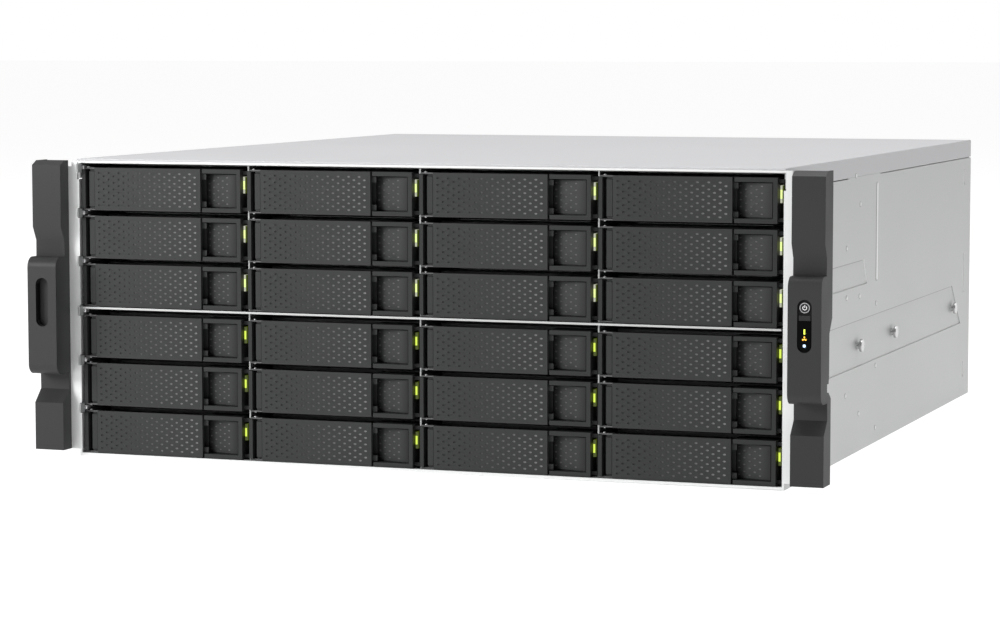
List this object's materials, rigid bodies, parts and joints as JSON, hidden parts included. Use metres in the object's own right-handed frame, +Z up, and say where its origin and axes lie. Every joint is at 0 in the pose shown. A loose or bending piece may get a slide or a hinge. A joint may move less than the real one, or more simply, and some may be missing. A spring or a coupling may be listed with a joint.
{
  "type": "rack storage server",
  "caption": "Wide flat rack server chassis with a grid of levered drive trays in front, moulded ear covers, lift-off lid, fan wall, mainboard and rear power supplies.",
  "frame": {"origin": "middle of the bottom of the whole server's box", "axes": "+X to the right seen from the front, +Y to the back, +Z up"},
  "size_m": [0.479, 0.5634, 0.1761],
  "materials": {
    "zinc_steel": "zinc-plated sheet steel, fine grain, satin",
    "cage_steel": "zinc-plated sheet steel, satin",
    "supply_steel": "plated steel case, satin",
    "tray_black": "moulded black plastic, fine texture",
    "lever_black": "moulded dark grey plastic, fine texture",
    "ear_grey": "moulded dark grey plastic, fine texture",
    "clear_pipe": "clear moulded light pipe",
    "circuit_board": "solder-masked circuit board",
    "fan_black": "moulded black plastic",
    "button_black": "moulded black plastic, semi-gloss"
  },
  "bodies": {
    "chassis": {"chassis_tub": "zinc_steel", "drive_cage": "cage_steel", "light_pipes": "clear_pipe", "backplane": "circuit_board", "fan_wall": "fan_black", "mainboard": "circuit_board", "left_ear_cover": "ear_grey", "right_ear_cover": "ear_grey"},
    "top_cover": {"top_cover": "zinc_steel"},
    "power_button": {"power_button": "button_black"},
    "power_supply_1": {"power_supply_1": "supply_steel"},
    "power_supply_2": {"power_supply_2": "supply_steel"},
    "tray_r1c1": {"tray_r1c1": "tray_black"},
    "tray_r1c2": {"tray_r1c2": "tray_black"},
    "tray_r1c3": {"tray_r1c3": "tray_black"},
    "tray_r1c4": {"tray_r1c4": "tray_black"},
    "tray_r2c1": {"tray_r2c1": "tray_black"},
    "tray_r2c2": {"tray_r2c2": "tray_black"},
    "tray_r2c3": {"tray_r2c3": "tray_black"},
    "tray_r2c4": {"tray_r2c4": "tray_black"},
    "tray_r3c1": {"tray_r3c1": "tray_black"},
    "tray_r3c2": {"tray_r3c2": "tray_black"},
    "tray_r3c3": {"tray_r3c3": "tray_black"},
    "tray_r3c4": {"tray_r3c4": "tray_black"},
    "tray_r4c1": {"tray_r4c1": "tray_black"},
    "tray_r4c2": {"tray_r4c2": "tray_black"},
    "tray_r4c3": {"tray_r4c3": "tray_black"},
    "tray_r4c4": {"tray_r4c4": "tray_black"},
    "tray_r5c1": {"tray_r5c1": "tray_black"},
    "tray_r5c2": {"tray_r5c2": "tray_black"},
    "tray_r5c3": {"tray_r5c3": "tray_black"},
    "tray_r5c4": {"tray_r5c4": "tray_black"},
    "tray_r6c1": {"tray_r6c1": "tray_black"},
    "tray_r6c2": {"tray_r6c2": "tray_black"},
    "tray_r6c3": {"tray_r6c3": "tray_black"},
    "tray_r6c4": {"tray_r6c4": "tray_black"},
    "lever_r1c1": {"lever_r1c1": "lever_black"},
    "lever_r1c2": {"lever_r1c2": "lever_black"},
    "lever_r1c3": {"lever_r1c3": "lever_black"},
    "lever_r1c4": {"lever_r1c4": "lever_black"},
    "lever_r2c1": {"lever_r2c1": "lever_black"},
    "lever_r2c2": {"lever_r2c2": "lever_black"},
    "lever_r2c3": {"lever_r2c3": "lever_black"},
    "lever_r2c4": {"lever_r2c4": "lever_black"},
    "lever_r3c1": {"lever_r3c1": "lever_black"},
    "lever_r3c2": {"lever_r3c2": "lever_black"},
    "lever_r3c3": {"lever_r3c3": "lever_black"},
    "lever_r3c4": {"lever_r3c4": "lever_black"},
    "lever_r4c1": {"lever_r4c1": "lever_black"},
    "lever_r4c2": {"lever_r4c2": "lever_black"},
    "lever_r4c3": {"lever_r4c3": "lever_black"},
    "lever_r4c4": {"lever_r4c4": "lever_black"},
    "lever_r5c1": {"lever_r5c1": "lever_black"},
    "lever_r5c2": {"lever_r5c2": "lever_black"},
    "lever_r5c3": {"lever_r5c3": "lever_black"},
    "lever_r5c4": {"lever_r5c4": "lever_black"},
    "lever_r6c1": {"lever_r6c1": "lever_black"},
    "lever_r6c2": {"lever_r6c2": "lever_black"},
    "lever_r6c3": {"lever_r6c3": "lever_black"},
    "lever_r6c4": {"lever_r6c4": "lever_black"}
  },
  "joints": [
    {"name": "top_cover_lift", "type": "slide", "parent": "chassis", "child": "top_cover", "axis": [0, 0, 1], "range_m": [0, 0.15]},
    {"name": "power_button_press", "type": "slide", "parent": "chassis", "child": "power_button", "axis": [0, 1, 0], "range_m": [0, 0.0012], "stiffness_N_per_m": 150},
    {"name": "power_supply_1_slide", "type": "slide", "parent": "chassis", "child": "power_supply_1", "axis": [0, 1, 0], "range_m": [0, 0.2]},
    {"name": "power_supply_2_slide", "type": "slide", "parent": "chassis", "child": "power_supply_2", "axis": [0, 1, 0], "range_m": [0, 0.2]},
    {"name": "tray_r1c1_slide", "type": "slide", "parent": "chassis", "child": "tray_r1c1", "axis": [0, -1, 0], "range_m": [0, 0.2]},
    {"name": "tray_r1c2_slide", "type": "slide", "parent": "chassis", "child": "tray_r1c2", "axis": [0, -1, 0], "range_m": [0, 0.2]},
    {"name": "tray_r1c3_slide", "type": "slide", "parent": "chassis", "child": "tray_r1c3", "axis": [0, -1, 0], "range_m": [0, 0.2]},
    {"name": "tray_r1c4_slide", "type": "slide", "parent": "chassis", "child": "tray_r1c4", "axis": [0, -1, 0], "range_m": [0, 0.2]},
    {"name": "tray_r2c1_slide", "type": "slide", "parent": "chassis", "child": "tray_r2c1", "axis": [0, -1, 0], "range_m": [0, 0.2]},
    {"name": "tray_r2c2_slide", "type": "slide", "parent": "chassis", "child": "tray_r2c2", "axis": [0, -1, 0], "range_m": [0, 0.2]},
    {"name": "tray_r2c3_slide", "type": "slide", "parent": "chassis", "child": "tray_r2c3", "axis": [0, -1, 0], "range_m": [0, 0.2]},
    {"name": "tray_r2c4_slide", "type": "slide", "parent": "chassis", "child": "tray_r2c4", "axis": [0, -1, 0], "range_m": [0, 0.2]},
    {"name": "tray_r3c1_slide", "type": "slide", "parent": "chassis", "child": "tray_r3c1", "axis": [0, -1, 0], "range_m": [0, 0.2]},
    {"name": "tray_r3c2_slide", "type": "slide", "parent": "chassis", "child": "tray_r3c2", "axis": [0, -1, 0], "range_m": [0, 0.2]},
    {"name": "tray_r3c3_slide", "type": "slide", "parent": "chassis", "child": "tray_r3c3", "axis": [0, -1, 0], "range_m": [0, 0.2]},
    {"name": "tray_r3c4_slide", "type": "slide", "parent": "chassis", "child": "tray_r3c4", "axis": [0, -1, 0], "range_m": [0, 0.2]},
    {"name": "tray_r4c1_slide", "type": "slide", "parent": "chassis", "child": "tray_r4c1", "axis": [0, -1, 0], "range_m": [0, 0.2]},
    {"name": "tray_r4c2_slide", "type": "slide", "parent": "chassis", "child": "tray_r4c2", "axis": [0, -1, 0], "range_m": [0, 0.2]},
    {"name": "tray_r4c3_slide", "type": "slide", "parent": "chassis", "child": "tray_r4c3", "axis": [0, -1, 0], "range_m": [0, 0.2]},
    {"name": "tray_r4c4_slide", "type": "slide", "parent": "chassis", "child": "tray_r4c4", "axis": [0, -1, 0], "range_m": [0, 0.2]},
    {"name": "tray_r5c1_slide", "type": "slide", "parent": "chassis", "child": "tray_r5c1", "axis": [0, -1, 0], "range_m": [0, 0.2]},
    {"name": "tray_r5c2_slide", "type": "slide", "parent": "chassis", "child": "tray_r5c2", "axis": [0, -1, 0], "range_m": [0, 0.2]},
    {"name": "tray_r5c3_slide", "type": "slide", "parent": "chassis", "child": "tray_r5c3", "axis": [0, -1, 0], "range_m": [0, 0.2]},
    {"name": "tray_r5c4_slide", "type": "slide", "parent": "chassis", "child": "tray_r5c4", "axis": [0, -1, 0], "range_m": [0, 0.2]},
    {"name": "tray_r6c1_slide", "type": "slide", "parent": "chassis", "child": "tray_r6c1", "axis": [0, -1, 0], "range_m": [0, 0.2]},
    {"name": "tray_r6c2_slide", "type": "slide", "parent": "chassis", "child": "tray_r6c2", "axis": [0, -1, 0], "range_m": [0, 0.2]},
    {"name": "tray_r6c3_slide", "type": "slide", "parent": "chassis", "child": "tray_r6c3", "axis": [0, -1, 0], "range_m": [0, 0.2]},
    {"name": "tray_r6c4_slide", "type": "slide", "parent": "chassis", "child": "tray_r6c4", "axis": [0, -1, 0], "range_m": [0, 0.2]},
    {"name": "lever_r1c1_turn", "type": "hinge", "parent": "tray_r1c1", "child": "lever_r1c1", "pos_m": [-0.20615, -0.26005, 0.1584], "axis": [0, 0, -1], "range_deg": [0, 65]},
    {"name": "lever_r1c2_turn", "type": "hinge", "parent": "tray_r1c2", "child": "lever_r1c2", "pos_m": [-0.09945, -0.26005, 0.1584], "axis": [0, 0, -1], "range_deg": [0, 65]},
    {"name": "lever_r1c3_turn", "type": "hinge", "parent": "tray_r1c3", "child": "lever_r1c3", "pos_m": [0.00725, -0.26005, 0.1584], "axis": [0, 0, -1], "range_deg": [0, 65]},
    {"name": "lever_r1c4_turn", "type": "hinge", "parent": "tray_r1c4", "child": "lever_r1c4", "pos_m": [0.11395, -0.26005, 0.1584], "axis": [0, 0, -1], "range_deg": [0, 65]},
    {"name": "lever_r2c1_turn", "type": "hinge", "parent": "tray_r2c1", "child": "lever_r2c1", "pos_m": [-0.20615, -0.26005, 0.13], "axis": [0, 0, -1], "range_deg": [0, 65]},
    {"name": "lever_r2c2_turn", "type": "hinge", "parent": "tray_r2c2", "child": "lever_r2c2", "pos_m": [-0.09945, -0.26005, 0.13], "axis": [0, 0, -1], "range_deg": [0, 65]},
    {"name": "lever_r2c3_turn", "type": "hinge", "parent": "tray_r2c3", "child": "lever_r2c3", "pos_m": [0.00725, -0.26005, 0.13], "axis": [0, 0, -1], "range_deg": [0, 65]},
    {"name": "lever_r2c4_turn", "type": "hinge", "parent": "tray_r2c4", "child": "lever_r2c4", "pos_m": [0.11395, -0.26005, 0.13], "axis": [0, 0, -1], "range_deg": [0, 65]},
    {"name": "lever_r3c1_turn", "type": "hinge", "parent": "tray_r3c1", "child": "lever_r3c1", "pos_m": [-0.20615, -0.26005, 0.1016], "axis": [0, 0, -1], "range_deg": [0, 65]},
    {"name": "lever_r3c2_turn", "type": "hinge", "parent": "tray_r3c2", "child": "lever_r3c2", "pos_m": [-0.09945, -0.26005, 0.1016], "axis": [0, 0, -1], "range_deg": [0, 65]},
    {"name": "lever_r3c3_turn", "type": "hinge", "parent": "tray_r3c3", "child": "lever_r3c3", "pos_m": [0.00725, -0.26005, 0.1016], "axis": [0, 0, -1], "range_deg": [0, 65]},
    {"name": "lever_r3c4_turn", "type": "hinge", "parent": "tray_r3c4", "child": "lever_r3c4", "pos_m": [0.11395, -0.26005, 0.1016], "axis": [0, 0, -1], "range_deg": [0, 65]},
    {"name": "lever_r4c1_turn", "type": "hinge", "parent": "tray_r4c1", "child": "lever_r4c1", "pos_m": [-0.20615, -0.26005, 0.0713], "axis": [0, 0, -1], "range_deg": [0, 65]},
    {"name": "lever_r4c2_turn", "type": "hinge", "parent": "tray_r4c2", "child": "lever_r4c2", "pos_m": [-0.09945, -0.26005, 0.0713], "axis": [0, 0, -1], "range_deg": [0, 65]},
    {"name": "lever_r4c3_turn", "type": "hinge", "parent": "tray_r4c3", "child": "lever_r4c3", "pos_m": [0.00725, -0.26005, 0.0713], "axis": [0, 0, -1], "range_deg": [0, 65]},
    {"name": "lever_r4c4_turn", "type": "hinge", "parent": "tray_r4c4", "child": "lever_r4c4", "pos_m": [0.11395, -0.26005, 0.0713], "axis": [0, 0, -1], "range_deg": [0, 65]},
    {"name": "lever_r5c1_turn", "type": "hinge", "parent": "tray_r5c1", "child": "lever_r5c1", "pos_m": [-0.20615, -0.26005, 0.0429], "axis": [0, 0, -1], "range_deg": [0, 65]},
    {"name": "lever_r5c2_turn", "type": "hinge", "parent": "tray_r5c2", "child": "lever_r5c2", "pos_m": [-0.09945, -0.26005, 0.0429], "axis": [0, 0, -1], "range_deg": [0, 65]},
    {"name": "lever_r5c3_turn", "type": "hinge", "parent": "tray_r5c3", "child": "lever_r5c3", "pos_m": [0.00725, -0.26005, 0.0429], "axis": [0, 0, -1], "range_deg": [0, 65]},
    {"name": "lever_r5c4_turn", "type": "hinge", "parent": "tray_r5c4", "child": "lever_r5c4", "pos_m": [0.11395, -0.26005, 0.0429], "axis": [0, 0, -1], "range_deg": [0, 65]},
    {"name": "lever_r6c1_turn", "type": "hinge", "parent": "tray_r6c1", "child": "lever_r6c1", "pos_m": [-0.20615, -0.26005, 0.0145], "axis": [0, 0, -1], "range_deg": [0, 65]},
    {"name": "lever_r6c2_turn", "type": "hinge", "parent": "tray_r6c2", "child": "lever_r6c2", "pos_m": [-0.09945, -0.26005, 0.0145], "axis": [0, 0, -1], "range_deg": [0, 65]},
    {"name": "lever_r6c3_turn", "type": "hinge", "parent": "tray_r6c3", "child": "lever_r6c3", "pos_m": [0.00725, -0.26005, 0.0145], "axis": [0, 0, -1], "range_deg": [0, 65]},
    {"name": "lever_r6c4_turn", "type": "hinge", "parent": "tray_r6c4", "child": "lever_r6c4", "pos_m": [0.11395, -0.26005, 0.0145], "axis": [0, 0, -1], "range_deg": [0, 65]}
  ]
}
